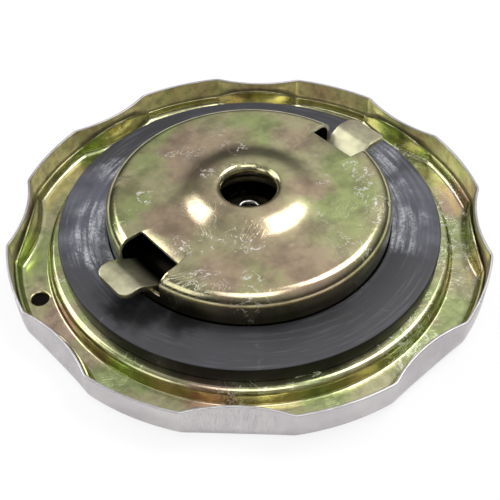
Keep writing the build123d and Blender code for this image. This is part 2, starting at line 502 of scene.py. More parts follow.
class Group(Graph):
    """A node group's own graph, with its inputs by name and what it gives."""

    def __init__(self, name: str, kind: str, takes: dict[Socket, tuple[str, ...]],
                 gives: dict[Socket, tuple[str, ...]]) -> None:
        """Starts the group.

        Args:
            name: the group's name.
            kind: ShaderNodeTree or GeometryNodeTree.
            takes: the names of its inputs of each kind.
            gives: the names of its outputs of each kind.
        """
        super().__init__(bpy.data.node_groups.new(name, kind))
        for sockets, way in ((takes, "INPUT"), (gives, "OUTPUT")):
            for socket, labels in sockets.items():
                for label in labels:
                    self.tree.interface.new_socket(label, in_out=way, socket_type=socket.value)
        source = self.tree.nodes.new("NodeGroupInput")
        self.given = {socket.name: Signal(self, socket) for socket in source.outputs[:-1]}

    def give(self, *values: Signal) -> bpy.types.NodeTree:
        """Fills the group's outputs.

        Args:
            values: what the outputs give, in order.

        Returns:
            The group's tree.
        """
        result = self.tree.nodes.new("NodeGroupOutput")
        for index, value in enumerate(values):
            self.fill(result.inputs[index], value)
        return self.tree

    def give_shape(self, shape: Signal) -> bpy.types.NodeTree:
        """Makes a geometry real, sets its finish and gives it.

        Args:
            shape: the geometry.

        Returns:
            The group's tree.
        """
        real = self.add("GeometryNodeRealizeInstances", {0: shape})
        return self.give(self.add("GeometryNodeSetMaterial", {
            "Geometry": real, "Material": self.given["Finish"]}))


def run_tree(piece: bpy.types.Object, tree: bpy.types.NodeTree, **inputs: object) -> None:
    """Runs a geometry tree on a piece and keeps the result.

    Args:
        piece: the piece.
        tree: the geometry tree.
        inputs: its inputs, named as its sockets with underscores.
    """
    change = piece.modifiers.new(tree.name, "NODES")
    change.node_group = tree
    for socket in tree.interface.items_tree:
        label = socket.name.lower().replace(" ", "_")
        if socket.in_out == "INPUT" and label in inputs:
            change[socket.identifier] = inputs[label]
    make_plain(piece)


# ------------------------------------------------------------------ geometry trees


def lobed_rim_tree() -> bpy.types.NodeTree:
    """Builds the tree that moves lobed rings onto the rim's outline and lifts the flange's edge.

    Returns:
        The tree.
    """
    tree = Group("lobed_rim", "GeometryNodeTree", {
        Socket.SHAPE: ("Shape",), Socket.FINISH: ("Finish",), Socket.NUMBER: (
            "Rim Radius", "Valley Centre", "Valley Arc", "Turn", "Step", "Ridge", "Rise")},
        {Socket.SHAPE: ("Shape",)})
    given = tree.given
    x, y, z = tree.split(tree.add("GeometryNodeInputPosition"))
    inset, lobed, climb, deep = (
        tree.add("GeometryNodeInputNamedAttribute", {"Name": name}, data_type="FLOAT")
        for name in ("inset", "lobed", "climb", "depth"))
    angle = tree.math("ARCTAN2", y, x)
    half = given["Step"] * 0.5
    local = tree.math("WRAP", angle - given["Turn"], half, half * -1.0)
    far = given["Valley Centre"] * tree.math("COSINE", local)
    side = given["Valley Centre"] * tree.math("SINE", local)
    bow = given["Valley Arc"] + inset
    chord = tree.math("SQRT", tree.math("MAXIMUM", bow * bow - side * side, 0.0))
    lobe = given["Rim Radius"] - inset
    bite = lobe - tree.math("SMOOTH_MIN", lobe, far - chord, given["Ridge"])
    moved = tree.polar(lobe - bite * deep, angle, z + given["Rise"] * bite * climb)
    return tree.give_shape(tree.add("GeometryNodeSetPosition", {
        "Geometry": given["Shape"], "Selection": tree.math("GREATER_THAN", lobed, 0.5),
        "Position": moved}))


def coil_tree() -> bpy.types.NodeTree:
    """Builds the tree that winds a compression spring with closed ends.

    Returns:
        The tree.
    """
    tree = Group("coil", "GeometryNodeTree", {
        Socket.SHAPE: ("Shape",), Socket.FINISH: ("Finish",), Socket.COUNT: ("Points",),
        Socket.NUMBER: ("Radius", "Wire", "Low", "High", "Turns", "Closed Turns")},
        {Socket.SHAPE: ("Shape",)})
    given = tree.given
    line = tree.add("GeometryNodeCurvePrimitiveLine")
    run = tree.add("GeometryNodeResampleCurve", {"Curve": line, "Count": given["Points"]})
    share = tree.add("GeometryNodeSplineParameter", output="Factor")
    wound = share * given["Turns"]
    open_turns = given["Turns"] - given["Closed Turns"] * 2.0
    inner = tree.math("DIVIDE", wound - given["Closed Turns"], open_turns, clamp=True)
    lift = tree.step(inner, 0.0, 1.0) * 0.75 + share * 0.25
    half_wire = given["Wire"] * 0.5
    rise = given["High"] - given["Low"] - given["Wire"]
    place = tree.polar(given["Radius"], wound * (2 * math.pi),
                       given["Low"] + half_wire + rise * lift)
    helix = tree.add("GeometryNodeSetPosition", {"Geometry": run, "Position": place})
    section = tree.add("GeometryNodeCurvePrimitiveCircle", {"Resolution": 14,
                                                            "Radius": half_wire})
    return tree.give_shape(tree.add("GeometryNodeCurveToMesh", {
        "Curve": helix, "Profile Curve": section, "Fill Caps": True}))


# ------------------------------------------------------------------ shader groups


def film_group() -> bpy.types.NodeTree:
    """Builds the group for the uneven colour of a passivated film.

    Returns:
        The group.
    """
    tree = Group("passivated_film", "ShaderNodeTree", {
        Socket.VECTOR: ("Place",), Socket.NUMBER: ("Scale", "Green Share", "Pink Share"),
        Socket.COLOR: ("Gold", "Green", "Pink")}, {Socket.COLOR: ("Color",)})
    given = tree.given
    place, scale = given["Place"], given["Scale"]
    fine = tree.noise(place, scale * 7.0, 3.0, 0.6)
    wobble = (fine - 0.5) * 0.12

    def tint(where: Signal, share: Signal) -> Signal:
        """Returns where one of the film's tints lies."""
        cloud = tree.noise(where, scale, 2.5, 0.55, 0.7) + wobble
        return tree.step(cloud + share, 0.90, 1.17)

    green = tint(place, given["Green Share"])
    pink = tint(tree.vector("ADD", place, (0.31, 0.17, 0.53)), given["Pink Share"])
    color = tree.mix(pink, tree.mix(green, given["Gold"], given["Green"]), given["Pink"])
    darker = tree.mix(1.0, color, rgb(205, 203, 205), "MULTIPLY")
    return tree.give(tree.mix(tree.step(fine, 0.35, 0.75), color, darker))


def marks_group(name: str) -> Group:
    """Starts a group that takes a place, a scale and a share and gives a mask.

    Args:
        name: the group's name.

    Returns:
        The group.
    """
    return Group(name, "ShaderNodeTree", {Socket.VECTOR: ("Place",),
                                          Socket.NUMBER: ("Scale", "Share")},
                 {Socket.NUMBER: ("Mask",)})


def scratch_group() -> bpy.types.NodeTree:
    """Builds the group for fine straight scratches in three directions.

    Returns:
        The group.
    """
    tree = marks_group("fine_scratches")
    place, scale, share = tree.given.values()
    total: Value = 0.0
    for turn, seed in ((0.5, 0.0), (1.9, 3.0), (2.7, 7.0)):
        laid = tree.add("ShaderNodeMapping", {"Vector": place, "Location": (seed, seed, 0),
                                              "Rotation": (0, 0, turn)})
        long = tree.vector("MULTIPLY", laid, (1.0, 14.0, 1.0))
        line = tree.hairline(tree.noise(long, scale, 2.0, 0.5, 0.3), 0.0, 0.012)
        where = tree.noise(laid, scale * 0.6, 2.0)
        total = tree.math("MAXIMUM", total, line * tree.step(where + share, 1.0, 1.1))
    return tree.give(total)


def chalk_group() -> bpy.types.NodeTree:
    """Builds the group for chalky residue: crooked hairlines with smears about them.

    Returns:
        The group.
    """
    tree = marks_group("chalk_marks")
    place, scale, share = tree.given.values()
    hair = tree.hairline(tree.noise(place, scale, 4.0, 0.6, 1.6), 0.004, 0.03)
    crumbs = tree.noise(place, scale * 5.0, 4.0, 0.7)
    where = tree.noise(place, scale * 0.45, 2.0, 0.5, 0.5) + share
    lines = hair * tree.step(crumbs, 0.38, 0.6) * tree.step(where, 0.98, 1.14)
    smears = tree.step(crumbs, 0.5, 0.8) * tree.step(where, 1.1, 1.3) * 0.6
    return tree.give(tree.math("ADD", lines, smears, clamp=True))


def around_group() -> bpy.types.NodeTree:
    """Builds the group for the distance from the axis and a place for concentric marks.

    Returns:
        The group.
    """
    tree = Group("around_axis", "ShaderNodeTree", {
        Socket.VECTOR: ("Place",), Socket.NUMBER: ("Spin Scale", "Ring Scale")},
        {Socket.NUMBER: ("Radius", "Height"), Socket.VECTOR: ("Ring Place",)})
    place, spin_scale, ring_scale = tree.given.values()
    x, y, z = tree.split(place)
    flat = tree.join(x, y)
    radius = tree.vector("LENGTH", flat)
    spun = tree.scaled(tree.vector("NORMALIZE", flat), spin_scale)
    return tree.give(radius, z, tree.vector("ADD", spun, tree.join(z=radius * ring_scale)))


def spot_group() -> bpy.types.NodeTree:
    """Builds the group for a soft ragged patch, used where a mark lies in one region.

    Returns:
        The group.
    """
    tree = Group("soft_spot", "ShaderNodeTree", {
        Socket.VECTOR: ("Place", "Centre", "Stretch"), Socket.NUMBER: ("Size",)},
        {Socket.NUMBER: ("Mask",)})
    place, centre, stretch, size = tree.given.values()
    swirl = tree.noise(place, 95.0, 3.0, 0.6, output="Color")
    pushed = tree.scaled(tree.vector("SUBTRACT", swirl, (0.5, 0.5, 0.5)), size * 2.2)
    away = tree.vector("SUBTRACT", tree.vector("ADD", place, pushed), centre)
    distance = tree.vector("LENGTH", tree.vector("MULTIPLY", away, stretch))
    return tree.give(1.0 - tree.step(distance, size * 0.25, size * 1.15))


@dataclass
class Effects:
    """The shader groups that the finishes share, each built once."""

    film: bpy.types.NodeTree = field(default_factory=film_group)
    scratches: bpy.types.NodeTree = field(default_factory=scratch_group)
    chalk: bpy.types.NodeTree = field(default_factory=chalk_group)
    around: bpy.types.NodeTree = field(default_factory=around_group)
    spot: bpy.types.NodeTree = field(default_factory=spot_group)


# ------------------------------------------------------------------ finishes


@dataclass(frozen=True)
class Spot:
    """A region of a finish: its middle and half size in millimetres, and its stretch."""

    x: float
    y: float
    size: float
    stretch: Place = (1.0, 1.0, 0.0)


Spots = tuple[Spot, ...]


class Canvas(Graph):
    """The graph of one material, over its piece's own coordinates."""

    def __init__(self, name: str, effects: Effects | None = None) -> None:
        """Starts a material.

        Args:
            name: the material's name.
            effects: the shader groups that it may use.
        """
        self.material = bpy.data.materials.new(name)
        self.material.use_nodes = True
        super().__init__(self.material.node_tree)
        self.shader = self.tree.nodes["Principled BSDF"]
        self.effects = effects
        self.place = self.add("ShaderNodeTexCoord", output="Object")

    def effect(self, group: bpy.types.NodeTree, output: str | int = 0,
               **inputs: Value) -> Signal:
        """Places a shared effect on the piece.

        Args:
            group: the effect's group.
            output: the output that is wanted.
            inputs: what its other inputs take; their spaces are written as underscores.

        Returns:
            The wanted output.
        """
        return self.group(group, output, Place=self.place, **inputs)

    def texture(self, scale: float, detail: float = 3.0, rough: float = 0.5,
                warp: float = 0.0) -> Signal:
        """Adds a noise on the piece.

        Args:
            scale: its cells in each metre.
            detail: its octaves.
            rough: the strength of the finer octaves.
            warp: its distortion.

        Returns:
            The noise, from 0 to 1.
        """
        return self.noise(self.place, scale, detail, rough, warp)

    def mask(self, spot: Spot) -> Signal:
        """Returns 1 inside a region and 0 outside it."""
        return self.effect(self.effects.spot, Centre=place_of(spot.x, spot.y),
                           Stretch=spot.stretch, Size=spot.size * MM)

    def raised(self, base: float, spots: Spots, gain: float) -> Value:
        """Returns a share that is higher in some regions.

        Args:
            base: the share elsewhere.
            spots: the regions.
            gain: how much higher it is there.

        Returns:
            The share.
        """
        total: Value = base
        for spot in spots:
            total = self.mask(spot) * gain + total
        return total

    def strongest(self, spots: Spots) -> Value:
        """Joins some regions.

        Args:
            spots: the regions.

        Returns:
            The strongest of their masks.
        """
        total: Value = 0.0
        for spot in spots:
            total = self.math("MAXIMUM", self.mask(spot), total)
        return total

    def dress(self, relief: Signal, **inputs: Value) -> None:
        """Fills the shader's inputs.

        Args:
            relief: the height of the surface's relief, in millimetres.
            inputs: what the inputs take; their spaces are written as underscores.
        """
        for name, value in inputs.items():
            self.fill(self.shader.inputs[name.replace("_", " ")], value)
        bump = self.add("ShaderNodeBump", {"Height": relief, "Distance": MM, "Strength": 1.0})
        self.fill(self.shader.inputs["Normal"], bump)


@dataclass(frozen=True)
class Finish:
    """A material's name; each kind of finish paints it in its own way."""

    name: str

    def paint(self, canvas: Canvas) -> None:
        """Fills the material's shader."""
        raise NotImplementedError

    def build(self, effects: Effects) -> bpy.types.Material:
        """Builds the material.

        Args:
            effects: the shared shader groups.

        Returns:
            The material.
        """
        canvas = Canvas(self.name, effects)
        self.paint(canvas)
        return canvas.material


@dataclass(frozen=True)
class YellowZinc(Finish):
    """Yellow passivated zinc: an uneven film of gold, olive green and pink over satin steel.

    Scales count cells in each metre, and covers are the most that a mark hides. Painted shade
    darkens a band between two distances from the axis, and the surface below a level.
    """

    gold: Color = rgb(208, 201, 158)
    green: Color = rgb(192, 202, 139)
    pink: Color = rgb(206, 184, 155)
    brown: Color = rgb(150, 132, 92)
    chalk: Color = rgb(224, 225, 220)
    painted_shade_color: Color = rgb(34, 31, 24)
    film_scale: float = 26.0
    chalk_scale: float = 170.0
    scratch_scale: float = 120.0
    speck_scale: float = 1200.0
    green_share: float = 0.46
    pink_share: float = 0.48
    metal: float = 1.0
    chalk_metal: float = 0.35
    speck_cover: float = 0.16
    scratch_cover: float = 0.45
    chalk_cover: float = 0.85
    painted_shade_cover: float = 0.72
    shaded_band: Point | None = None
    shaded_band_edge: float = 3.0
    painted_shade_below: float = 0.0
    painted_shade_depth: float = 4.0
    roughness: Point = (0.13, 0.25)
    chalk_share: float = 0.42
    scratch_share: float = 0.42
    tint_gain: float = 0.24
    chalk_gain: float = 0.30
    wave_height: float = 0.07
    grain_height: float = 0.009
    scratch_depth: float = 0.012
    greens: Spots = ()
    pinks: Spots = ()
    chalked: Spots = ()

    def paint(self, canvas: Canvas) -> None:
        """Lays the film, then specks, scratches, chalk, and painted shade in a band and below a
        level.

        Args:
            canvas: the material's canvas.
        """
        effects = canvas.effects
        color = canvas.effect(effects.film, Scale=self.film_scale, Gold=self.gold,
                              Green=self.green, Pink=self.pink,
                              Green_Share=canvas.raised(self.green_share, self.greens,
                                                        self.tint_gain),
                              Pink_Share=canvas.raised(self.pink_share, self.pinks,
                                                       self.tint_gain))
        chalk = canvas.effect(effects.chalk, Scale=self.chalk_scale, Share=canvas.raised(
            self.chalk_share, self.chalked, self.chalk_gain))
        scratches = canvas.effect(effects.scratches, Scale=self.scratch_scale,
                                  Share=self.scratch_share)
        specks = canvas.step(canvas.texture(self.speck_scale, 2.0), 0.66, 0.80)
        for mask, cover in ((specks * self.speck_cover, self.brown),
                            (scratches * self.scratch_cover, self.chalk),
                            (chalk * self.chalk_cover, self.chalk)):
            color = canvas.mix(mask, color, cover)
        # Painted shade: a dark band between two distances from the axis.
        if self.shaded_band:
            radius = canvas.effect(effects.around, "Radius")
            low, high = self.shaded_band
            band = canvas.step(radius, low * MM, (low + self.shaded_band_edge) * MM) * canvas.step(
                radius, high * MM, (high - self.shaded_band_edge) * MM)
            color = canvas.mix(band, color, self.painted_shade_color)
        # Painted shade: the colour gets darker towards the bottom, below a level.
        if self.painted_shade_below > 0:
            lower_shade = canvas.step(canvas.effect(effects.around, "Height"), self.painted_shade_below * MM,
                                (self.painted_shade_below - self.painted_shade_depth) * MM)
            color = canvas.mix(lower_shade * self.painted_shade_cover, color, self.painted_shade_color)
        cloudy = canvas.span(canvas.texture(90.0, 4.0, 0.6), *self.roughness)
        waves = canvas.texture(75.0, 1.5) * self.wave_height
        grain = canvas.texture(1500.0, 3.0, 0.6) * self.grain_height
        canvas.dress(waves + grain - scratches * self.scratch_depth, Base_Color=color,
                     Metallic=canvas.span(chalk, self.metal, self.chalk_metal),
                     Roughness=canvas.math("ADD", cloudy, chalk * 0.25, clamp=True))


@dataclass(frozen=True)
class SatinSteel(Finish):
    """Silver satin plate with fine scratches, cloudy gloss and faint stains."""

    silver: Color = rgb(226, 224, 221)
    cloud: Color = rgb(196, 193, 188)
    stain: Color = rgb(168, 160, 140)
    roughness: Point = (0.24, 0.40)
    scratch_scale: float = 140.0
    scratch_share: float = 0.5
    scratch_cover: float = 0.5
    stain_cover: float = 0.35
    wave_height: float = 0.10
    grain_height: float = 0.02
    scratch_depth: float = 0.03

    def paint(self, canvas: Canvas) -> None:
        """Clouds the silver, stains it, and lays bright scratches on it.

        Args:
            canvas: the material's canvas.
        """
        cloudy = canvas.texture(60.0, 4.0, 0.6, 0.4)
        scratches = canvas.effect(canvas.effects.scratches, Scale=self.scratch_scale,
                                  Share=self.scratch_share)
        stains = canvas.step(canvas.texture(130.0, 5.0, 0.7), 0.62, 0.8)
        color = canvas.mix(canvas.step(cloudy, 0.35, 0.7), self.silver, self.cloud)
        color = canvas.mix(stains * self.stain_cover, color, self.stain)
        waves = canvas.texture(70.0, 1.5) * self.wave_height
        grain = canvas.texture(1300.0, 3.0) * self.grain_height
        canvas.dress(waves + grain - scratches * self.scratch_depth, Metallic=1.0,
                     Base_Color=canvas.mix(scratches * self.scratch_cover, color, self.silver),
                     Roughness=canvas.math("ADD", canvas.span(cloudy, *self.roughness),
                                           scratches * 0.12, clamp=True))


@dataclass(frozen=True)
class ScuffedRubber(Finish):
    """Charcoal rubber with concentric wear, dusty haze, chalky scuffs and patches of painted cast
    shadow.

    Where the cast shadow is painted, its sheen falls to a lower share.
    """

    rubber: Color = rgb(52, 52, 58)
    dark: Color = rgb(36, 36, 41)
    dust: Color = rgb(104, 106, 118)
    chalk: Color = rgb(186, 188, 194)
    clean: Color = rgb(18, 18, 19)
    sheen: float = 0.62
    shadowed_sheen: float = 0.3
    haze_cover: float = 0.8
    ring_cover: float = 0.10
    chalk_scale: float = 260.0
    chalk_share: float = 0.36
    chalk_gain: float = 0.25
    ring_height: float = 0.03
    grit_height: float = 0.035
    hazed: Spots = ()
    chalked: Spots = ()
    shadowed: Spots = ()

    def paint(self, canvas: Canvas) -> None:
        """Lays grit, haze, worn rings and chalk, and paints a near-black cast shadow over them in
        some patches.

        Args:
            canvas: the material's canvas.
        """
        effects = canvas.effects
        rings = canvas.noise(canvas.effect(effects.around, "Ring Place", Spin_Scale=2.2,
                                           Ring_Scale=1100.0), 1.0, 4.0, 0.65)
        cloudy = canvas.texture(55.0, 3.0, 0.6, 0.5)
        grit = canvas.texture(1500.0, 3.0, 0.7)
        haze = canvas.math("MULTIPLY", canvas.strongest(self.hazed),
                           canvas.span(rings, 0.25, 1.1), clamp=True)
        patch = canvas.strongest(self.chalked)
        streaks = canvas.step(rings, 0.40, 0.62) * canvas.step(grit, 0.30, 0.60) * patch
        share = canvas.math("MULTIPLY_ADD", patch, self.chalk_gain, self.chalk_share)
        chalk = canvas.effect(effects.chalk, Scale=self.chalk_scale, Share=share)
        marks = canvas.math("MAXIMUM", streaks, chalk * 0.5)
        # Painted cast shadow: near-black patches with less sheen.
        shadowed = canvas.strongest(self.shadowed)
        color = canvas.mix(canvas.step(cloudy, 0.3, 0.75), self.dark, self.rubber)
        worn_rings = canvas.step(rings, 0.5, 0.72) * self.ring_cover
        for mask, cover in ((canvas.step(grit, 0.56, 0.76), self.rubber),
                            (haze * self.haze_cover, self.dust), (worn_rings, self.chalk),
                            (marks, self.chalk), (shadowed, self.clean)):
            color = canvas.mix(mask, color, cover)
        worn = canvas.math("ADD", cloudy, marks * 0.5, clamp=True)
        canvas.dress(rings * self.ring_height + grit * self.grit_height, Base_Color=color,
                     Roughness=canvas.span(worn, 0.40, 0.62),
                     Specular_IOR_Level=canvas.span(shadowed, self.sheen,
                                                    self.sheen * self.shadowed_sheen))


@dataclass(frozen=True)
class DrawnWire(Finish):
    """Dull spring wire with fine draw marks."""

    steel: Color = rgb(150, 148, 143)
    shade: Color = rgb(104, 100, 92)

    def paint(self, canvas: Canvas) -> None:
        """Darkens the steel along the draw marks.

        Args:
            canvas: the material's canvas.
        """
        marks = canvas.texture(700.0, 4.0, 0.6, 0.5)
        canvas.dress(marks * 0.02, Metallic=1.0, Roughness=canvas.span(marks, 0.28, 0.5),
                     Base_Color=canvas.mix(canvas.step(marks, 0.3, 0.7), self.shade, self.steel))


class Finishes:
    """Every finish of the cap."""

    def __init__(self) -> None:
        """Builds the materials."""
        made = Effects()
        # The cup's wall below 14.6 mm is painted darker as shade.
        self.cup = YellowZinc(
            "cup_yellow_zinc",
            greens=(Spot(-7, 25, 8, (0.7, 1.0, 0.0)), Spot(-1.6, 28.5, 6, (0.6, 1.0, 0.0)),
                    Spot(14.7, 16.2, 8), Spot(9.5, -21, 9), Spot(18, -16, 7),
                    Spot(21.4, -7.5, 6), Spot(-15, -21, 6), Spot(-23, 13, 7)),
            pinks=(Spot(0.4, 21.5, 8, (0.7, 1.0, 0.0)), Spot(20.4, 5.8, 8), Spot(10, -9.3, 7),
                   Spot(-20, -15, 8), Spot(-5.6, -25.4, 8), Spot(-20.3, 1.7, 8),
                   Spot(-5, 15, 7), Spot(8, 14, 6)),
            chalked=(Spot(-22, -3, 3), Spot(-17, -7, 4, (1.0, 1.6, 0.0)), Spot(-11, -11.5, 5),
                     Spot(14.8, -8.5, 3, (0.6, 1.2, 0.0)), Spot(23, -11, 4), Spot(20.4, -17, 3),
                     Spot(-4, 9.3, 3), Spot(19, -22, 4), Spot(14.6, -25, 3), Spot(-25, -14, 4),
                     Spot(-18.5, 14, 3)), painted_shade_below=14.6).build(made)
        self.edge = SatinSteel("cut_edge_steel", silver=rgb(235, 233, 224),
                               roughness=(0.3, 0.45)).build(made)
        self.plate = YellowZinc(
            "plate_yellow_zinc", gold=rgb(206, 202, 158), green=rgb(188, 200, 140),
            pink=rgb(204, 180, 156), green_share=0.51, pink_share=0.38, film_scale=40.0,
            chalk_share=0.36, roughness=(0.14, 0.28),
            greens=(Spot(-44, 20, 9), Spot(-45.7, -12.7, 9), Spot(15.4, -45, 10),
                    Spot(-20, -44, 8)),
            pinks=(Spot(-47, 8, 6), Spot(-36.6, -28, 7), Spot(44, -24, 7)),
            chalked=(Spot(48, -8, 9), Spot(44, -22, 10), Spot(34, -36, 13), Spot(5, -48, 12),
                     Spot(-32, -36, 8))).build(made)
        # The strap between 14 and 30.8 mm from the axis, inside the cup, is painted darker as
        # shade.
        self.strap = YellowZinc(
            "strap_yellow_zinc", gold=rgb(212, 208, 176), green=rgb(192, 196, 154),
            pink=rgb(202, 186, 162), chalk_share=0.38, roughness=(0.30, 0.44),
            shaded_band=(14.0, 30.8)).build(made)
        self.lining = YellowZinc(
            "cover_lining_zinc", gold=rgb(236, 226, 180), green=rgb(208, 210, 154),
            pink=rgb(220, 198, 164), film_scale=60.0, roughness=(0.22, 0.40), metal=0.5,
            chalk_share=0.3).build(made)
        # Near-black painted shade for the cover's inner floor and the cup's inside.
        self.unlit_inside = SatinSteel("unlit_inner_floor", silver=rgb(26, 24, 20),
                                 cloud=rgb(18, 16, 14), stain=rgb(30, 26, 18)).build(made)
        self.cover = SatinSteel("cover_satin_steel", silver=rgb(210, 206, 206),
                                cloud=rgb(190, 185, 188), stain=rgb(172, 165, 158)).build(made)
        self.valve = SatinSteel("valve_bright_zinc", roughness=(0.18, 0.3)).build(made)
        # Painted shade: a dark copy of the zinc for the can, whose roof lies below the cup's hole.
        self.shaded_can = SatinSteel("valve_sooty_zinc", silver=rgb(70, 66, 56),
                                 cloud=rgb(48, 45, 38), stain=rgb(60, 52, 36)).build(made)
        # The gasket's patches beside the -X tang carry the tang's painted cast shadow.
        self.rubber = ScuffedRubber(
            "gasket_rubber",
            hazed=(Spot(-22, 29, 12), Spot(-31, 20, 10), Spot(33, -20, 12),
                   Spot(24, -28, 9), Spot(37, -4, 9)),
            chalked=(Spot(-14, 34.4, 5), Spot(-24.7, 25, 6), Spot(-29.6, 19.5, 6),
                     Spot(-32.6, 12.7, 5), Spot(25, -23.7, 6), Spot(19, -28, 5),
                     Spot(36, -6.4, 6), Spot(31, -16, 6)),
            shadowed=(Spot(-35, -7.5, 6), Spot(-39, -5, 5), Spot(-32, -14, 5))).build(made)
        # A darker copy of the rubber: painted shade on the gasket's upright faces.
        self.rubber_shaded_side = ScuffedRubber("gasket_side_rubber", rubber=rgb(26, 25, 25),
                                         dark=rgb(16, 15, 15), sheen=0.25).build(made)
        self.seal = ScuffedRubber("seal_rubber", rubber=rgb(58, 58, 62)).build(made)
        self.wire = DrawnWire("spring_wire").build(made)


# ------------------------------------------------------------------ the cap's pieces


class Body(Enum):
    """The bodies that pieces ride on."""

    SHELL = "shell"
    STRAP = "strap"
    VALVE = "valve"


class Slot(Enum):
    """The record's material slots."""

    COVER = "cover_steel"
    ZINC = "yellow_zinc"
    STRAP = "strap_zinc"
    RUBBER = "black_rubber"
    WIRE = "spring_steel"
    VALVE = "valve_metal"


def place_piece(piece: bpy.types.Object, node: str, body: Body) -> None:
    """Lets a finished piece stand for a node and ride on its body.

    Args:
        piece: the finished piece.
        node: the node that it stands for.
        body: the body that it rides on.
    """
    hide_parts(node)
    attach(piece, body.value)
    log.info("%s: %d faces on %s", piece.name, len(piece.data.polygons), body.value)


def coat(piece: bpy.types.Object, finishes: Iterable[bpy.types.Material],
         choose: Callable[[bpy.types.MeshPolygon], int]) -> None:
    """Gives a piece more finishes and shares its faces among all that it has.

    Args:
        piece: the piece.
        finishes: the finishes after those that it has.
        choose: returns the number of a face's finish.
    """
    for finish in finishes:
        piece.data.materials.append(finish)
    for face in piece.data.polygons:
        face.material_index = choose(face)


def facing(face: bpy.types.MeshPolygon) -> float:
    """Returns how much a face looks away from the axis, from -1 to 1."""
    return face.normal.dot(Vector((face.center.x, face.center.y, 0.0)).normalized())


def turned_piece(name: str, loop: Iterable[Point], finish: bpy.types.Material,
                 columns: int = 256, closed: bool = True) -> bpy.types.Object:
    """Turns a section about the axis.

    Args:
        name: the piece's name.
        loop: the section's points.
        finish: its finish.
        columns: points round the axis.
        closed: whether the section is a loop, and not a line from the axis to the axis.

    Returns:
        The piece.
    """
    piece = ring_mesh(name, [Ring(*point) for point in loop], even_columns(columns), closed)
    tidy_mesh(piece)
    piece.data.materials.append(finish)
    return piece


@dataclass(frozen=True)
class Rim:
    """The lobed outline that the cover and the plate share.

    Angles are in degrees. Turn is where the pattern starts from +X, ridge the rounding between a
    lobe and a valley, and bunching the share of the points that draw towards the ridges.
    """

    radius: float = 55.0
    valley: float = 52.1
    lobes: int = 8
    lobe_angle: float = 22.3
    turn: float = 1.3
    ridge: float = 0.56
    bunching: float = 0.65

    def valley_arc(self) -> float:
        """Works out how tightly the valleys curve.

        Returns:
            The radius of their arc.
        """
        half = math.pi / self.lobes - math.radians(self.lobe_angle) / 2
        chord = self.radius * math.sin(half)
        depth = self.radius * math.cos(half) - self.valley
        return (chord ** 2 + depth ** 2) / (2 * depth)

    def columns(self, spans: int = 24) -> list[float]:
        """Returns angles round the rim, bunched at the ridges between lobe and valley.

        Args:
            spans: spans in each lobe and in each valley.

        Returns:
            The angles.
        """
        step = 2 * math.pi / self.lobes
        lobe = math.radians(self.lobe_angle)
        angles = []
        for index in range(self.lobes):
            start = math.radians(self.turn) + index * step + (step - lobe) / 2
            for first, width in ((start, lobe), (start + lobe, step - lobe)):
                for n in range(spans):
                    even = n / spans
                    bunched = 0.5 - 0.5 * math.cos(math.pi * even)
                    angles.append(first + width * (even + (bunched - even) * self.bunching))
        return angles

    def shape(self, name: str, rings: list[Ring], closed: bool, tree: bpy.types.NodeTree,
              finish: bpy.types.Material, rise: float = 0.0) -> bpy.types.Object:
        """Makes a piece with the rim's outline.

        Args:
            name: the piece's name.
            rings: the rings of its section.
            closed: whether the last ring joins the first.
            tree: the lobed rim tree.
            finish: the finish that the tree sets.
            rise: how much higher the flange's edge gets for each millimetre nearer the axis.

        Returns:
            The piece.
        """
        arc = self.valley_arc()
        piece = ring_mesh(name, rings, self.columns(), closed, self.radius)
        run_tree(piece, tree, rim_radius=self.radius * MM,
                 valley_centre=(self.valley + arc) * MM, valley_arc=arc * MM,
                 turn=math.radians(self.turn), step=2 * math.pi / self.lobes,
                 ridge=self.ridge * MM, rise=rise, finish=finish)
        tidy_mesh(piece)
        return piece


